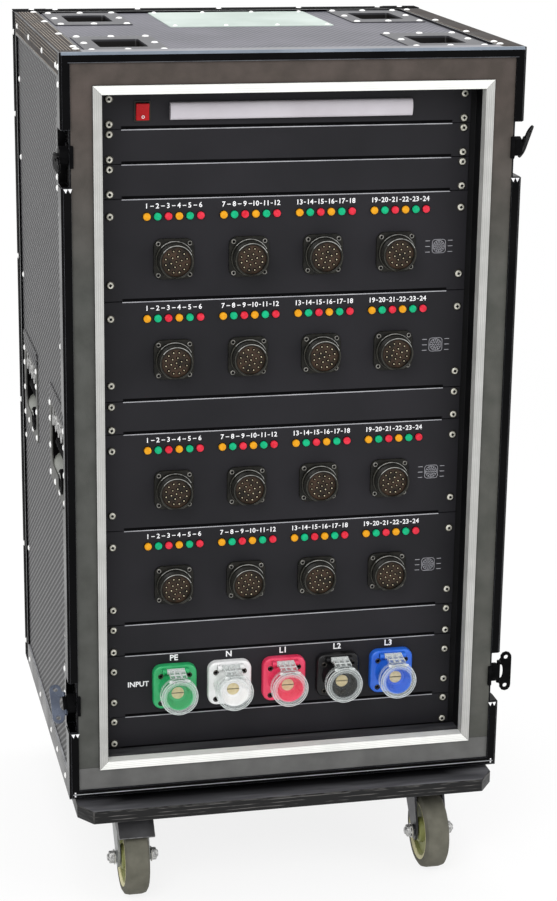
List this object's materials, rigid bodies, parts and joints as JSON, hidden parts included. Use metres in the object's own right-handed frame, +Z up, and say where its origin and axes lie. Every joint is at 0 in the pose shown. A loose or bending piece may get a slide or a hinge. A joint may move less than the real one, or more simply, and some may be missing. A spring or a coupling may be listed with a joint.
{
  "type": "mobile power distribution rack",
  "caption": "Foam-mounted 19-inch flight case rack on castors, with multipin outlet panels, phase lamps and colour-coded single-pole input sockets.",
  "frame": {"origin": "on the floor, under the centre of the overall bounding box", "axes": "+X to the object's right as seen from the front, +Y from the front to the back, +Z up"},
  "size_m": [0.6426, 0.565, 1.1514],
  "materials": {
    "laminate": "dark grey textured laminate on plywood",
    "edging": "black anodised extrusion",
    "foam": "dark grey closed-cell foam",
    "birch": "silver-painted plywood with aluminium front trim",
    "board": "black-painted plywood",
    "black_steel": "black steel sheet",
    "zinc": "zinc-plated steel",
    "panel": "near-black satin paint",
    "wheel": "grey-brown elastic tread",
    "switch": "red switch lens",
    "clear": "clear hard plastic",
    "socket_pe": "green moulded plastic",
    "socket_n": "white moulded plastic",
    "socket_l1": "red moulded plastic",
    "socket_l2": "black moulded plastic",
    "socket_l3": "blue moulded plastic"
  },
  "bodies": {
    "case": {"outer_case": "laminate", "case_top": "laminate", "edge_frame": "edging", "shock_foam": "foam", "rack_sleeve": "birch", "base_board": "board", "stacking_cup_front_left": "black_steel", "stacking_cup_rear_left": "black_steel", "stacking_cup_front_right": "black_steel", "stacking_cup_rear_right": "black_steel", "handle_dish_front_left": "black_steel", "handle_dish_rear_left": "black_steel", "handle_dish_front_right": "black_steel", "handle_dish_rear_right": "black_steel", "light_panel": "panel", "blank_panel_1": "panel", "blank_panel_2": "panel", "multipin_panel_1": "panel", "multipin_panel_2": "panel", "blank_panel_3": "panel", "multipin_panel_3": "panel", "multipin_panel_4": "panel", "blank_panel_4": "panel", "input_panel": "panel", "blank_panel_5": "panel", "input_socket_pe": "socket_pe", "input_socket_n": "socket_n", "input_socket_l1": "socket_l1", "input_socket_l2": "socket_l2", "input_socket_l3": "socket_l3"},
    "rear_lid": {"rear_lid": "laminate"},
    "rocker": {"rocker_switch": "switch"},
    "flap_pe": {"input_lid_pe": "clear"},
    "flap_n": {"input_lid_n": "clear"},
    "flap_l1": {"input_lid_l1": "clear"},
    "flap_l2": {"input_lid_l2": "clear"},
    "flap_l3": {"input_lid_l3": "clear"},
    "grip_front_left": {"handle_grip_front_left": "zinc"},
    "grip_rear_left": {"handle_grip_rear_left": "zinc"},
    "grip_front_right": {"handle_grip_front_right": "zinc"},
    "grip_rear_right": {"handle_grip_rear_right": "zinc"},
    "castor_front_left": {"castor_fork_front_left": "zinc"},
    "wheel_front_left": {"castor_wheel_front_left": "wheel"},
    "pedal_front_left": {"brake_pedal_front_left": "black_steel"},
    "castor_front_right": {"castor_fork_front_right": "zinc"},
    "wheel_front_right": {"castor_wheel_front_right": "wheel"},
    "castor_rear_left": {"castor_fork_rear_left": "zinc"},
    "wheel_rear_left": {"castor_wheel_rear_left": "wheel"},
    "castor_rear_right": {"castor_fork_rear_right": "zinc"},
    "wheel_rear_right": {"castor_wheel_rear_right": "wheel"},
    "pedal_rear_right": {"brake_pedal_rear_right": "black_steel"},
    "latch_upper_left": {"latch_spindle_upper_left": "black_steel"},
    "wing_upper_left": {"latch_wing_upper_left": "black_steel"},
    "latch_upper_right": {"latch_spindle_upper_right": "black_steel"},
    "wing_upper_right": {"latch_wing_upper_right": "black_steel"},
    "latch_lower_left": {"latch_spindle_lower_left": "black_steel"},
    "wing_lower_left": {"latch_wing_lower_left": "black_steel"},
    "latch_lower_right": {"latch_spindle_lower_right": "black_steel"},
    "wing_lower_right": {"latch_wing_lower_right": "black_steel"}
  },
  "joints": [
    {"name": "rear_lid_lift_off", "type": "slide", "parent": "case", "child": "rear_lid", "axis": [0, 1, 0], "range_m": [0, 0.3]},
    {"name": "rocker_tilt", "type": "hinge", "parent": "case", "child": "rocker", "pos_m": [-0.19, -0.2065, 1.07207], "axis": [1, 0, 0], "range_deg": [-16, 0]},
    {"name": "flap_pe_hinge", "type": "hinge", "parent": "case", "child": "flap_pe", "pos_m": [-0.15, -0.2215, 0.3174], "axis": [-1, 0, 0], "range_deg": [0, 95]},
    {"name": "flap_n_hinge", "type": "hinge", "parent": "case", "child": "flap_n", "pos_m": [-0.074, -0.2215, 0.3174], "axis": [-1, 0, 0], "range_deg": [0, 95]},
    {"name": "flap_l1_hinge", "type": "hinge", "parent": "case", "child": "flap_l1", "pos_m": [0.002, -0.2215, 0.3174], "axis": [-1, 0, 0], "range_deg": [0, 95]},
    {"name": "flap_l2_hinge", "type": "hinge", "parent": "case", "child": "flap_l2", "pos_m": [0.078, -0.2215, 0.3174], "axis": [-1, 0, 0], "range_deg": [0, 95]},
    {"name": "flap_l3_hinge", "type": "hinge", "parent": "case", "child": "flap_l3", "pos_m": [0.154, -0.2215, 0.3174], "axis": [-1, 0, 0], "range_deg": [0, 95]},
    {"name": "grip_front_left_hinge", "type": "hinge", "parent": "case", "child": "grip_front_left", "pos_m": [-0.2857, -0.1585, 0.6533], "axis": [0, 1, 0], "range_deg": [0, 90], "stiffness_Nm_per_rad": 0.2, "springref_deg": -22.92},
    {"name": "grip_rear_left_hinge", "type": "hinge", "parent": "case", "child": "grip_rear_left", "pos_m": [-0.2857, 0.1485, 0.6533], "axis": [0, 1, 0], "range_deg": [0, 90], "stiffness_Nm_per_rad": 0.2, "springref_deg": -22.92},
    {"name": "grip_front_right_hinge", "type": "hinge", "parent": "case", "child": "grip_front_right", "pos_m": [0.2857, -0.1585, 0.6533], "axis": [0, -1, 0], "range_deg": [0, 90], "stiffness_Nm_per_rad": 0.2, "springref_deg": -22.92},
    {"name": "grip_rear_right_hinge", "type": "hinge", "parent": "case", "child": "grip_rear_right", "pos_m": [0.2857, 0.1485, 0.6533], "axis": [0, -1, 0], "range_deg": [0, 90], "stiffness_Nm_per_rad": 0.2, "springref_deg": -22.92},
    {"name": "castor_front_left_swivel", "type": "hinge", "parent": "case", "child": "castor_front_left", "pos_m": [-0.2117, -0.1945, 0.12], "axis": [0, 0, 1], "continuous": true},
    {"name": "wheel_front_left_spin", "type": "hinge", "parent": "castor_front_left", "child": "wheel_front_left", "pos_m": [-0.2117, -0.2295, 0.053], "axis": [1, 0, 0], "continuous": true},
    {"name": "pedal_front_left_press", "type": "hinge", "parent": "castor_front_left", "child": "pedal_front_left", "pos_m": [-0.2117, -0.2365, 0.109], "axis": [1, 0, 0], "range_deg": [0, 12]},
    {"name": "castor_front_right_swivel", "type": "hinge", "parent": "case", "child": "castor_front_right", "pos_m": [0.2117, -0.1945, 0.12], "axis": [0, 0, 1], "continuous": true},
    {"name": "wheel_front_right_spin", "type": "hinge", "parent": "castor_front_right", "child": "wheel_front_right", "pos_m": [0.2117, -0.2295, 0.053], "axis": [1, 0, 0], "continuous": true},
    {"name": "castor_rear_left_swivel", "type": "hinge", "parent": "case", "child": "castor_rear_left", "pos_m": [-0.2117, 0.1945, 0.12], "axis": [0, 0, 1], "continuous": true},
    {"name": "wheel_rear_left_spin", "type": "hinge", "parent": "castor_rear_left", "child": "wheel_rear_left", "pos_m": [-0.2117, 0.1595, 0.053], "axis": [1, 0, 0], "continuous": true},
    {"name": "castor_rear_right_swivel", "type": "hinge", "parent": "case", "child": "castor_rear_right", "pos_m": [0.2117, 0.1945, 0.12], "axis": [0, 0, 1], "continuous": true},
    {"name": "wheel_rear_right_spin", "type": "hinge", "parent": "castor_rear_right", "child": "wheel_rear_right", "pos_m": [0.2117, 0.1595, 0.053], "axis": [1, 0, 0], "continuous": true},
    {"name": "pedal_rear_right_press", "type": "hinge", "parent": "castor_rear_right", "child": "pedal_rear_right", "pos_m": [0.2117, 0.1525, 0.109], "axis": [1, 0, 0], "range_deg": [0, 12]},
    {"name": "latch_upper_left_twist", "type": "hinge", "parent": "case", "child": "latch_upper_left", "pos_m": [-0.2967, -0.2355, 1.0223], "axis": [1, 0, 0], "range_deg": [0, 180]},
    {"name": "wing_upper_left_fold", "type": "hinge", "parent": "latch_upper_left", "child": "wing_upper_left", "pos_m": [-0.303, -0.2355, 1.0223], "axis": [0, -1, 0], "range_deg": [-90, 0]},
    {"name": "latch_upper_right_twist", "type": "hinge", "parent": "case", "child": "latch_upper_right", "pos_m": [0.2967, -0.2355, 1.0223], "axis": [1, 0, 0], "range_deg": [-130, 50]},
    {"name": "wing_upper_right_fold", "type": "hinge", "parent": "latch_upper_right", "child": "wing_upper_right", "pos_m": [0.303, -0.2355, 1.0223], "axis": [0, -0.6428, 0.766], "range_deg": [-45, 45]},
    {"name": "latch_lower_left_twist", "type": "hinge", "parent": "case", "child": "latch_lower_left", "pos_m": [-0.2967, -0.2355, 0.2883], "axis": [1, 0, 0], "range_deg": [-40, 140]},
    {"name": "wing_lower_left_fold", "type": "hinge", "parent": "latch_lower_left", "child": "wing_lower_left", "pos_m": [-0.303, -0.2355, 0.2883], "axis": [0, -0.766, -0.6428], "range_deg": [0, 90]},
    {"name": "latch_lower_right_twist", "type": "hinge", "parent": "case", "child": "latch_lower_right", "pos_m": [0.2967, -0.2355, 0.2883], "axis": [1, 0, 0], "range_deg": [-90, 90]},
    {"name": "wing_lower_right_fold", "type": "hinge", "parent": "latch_lower_right", "child": "wing_lower_right", "pos_m": [0.303, -0.2355, 0.2883], "axis": [0, 0, 1], "range_deg": [0, 90]}
  ]
}
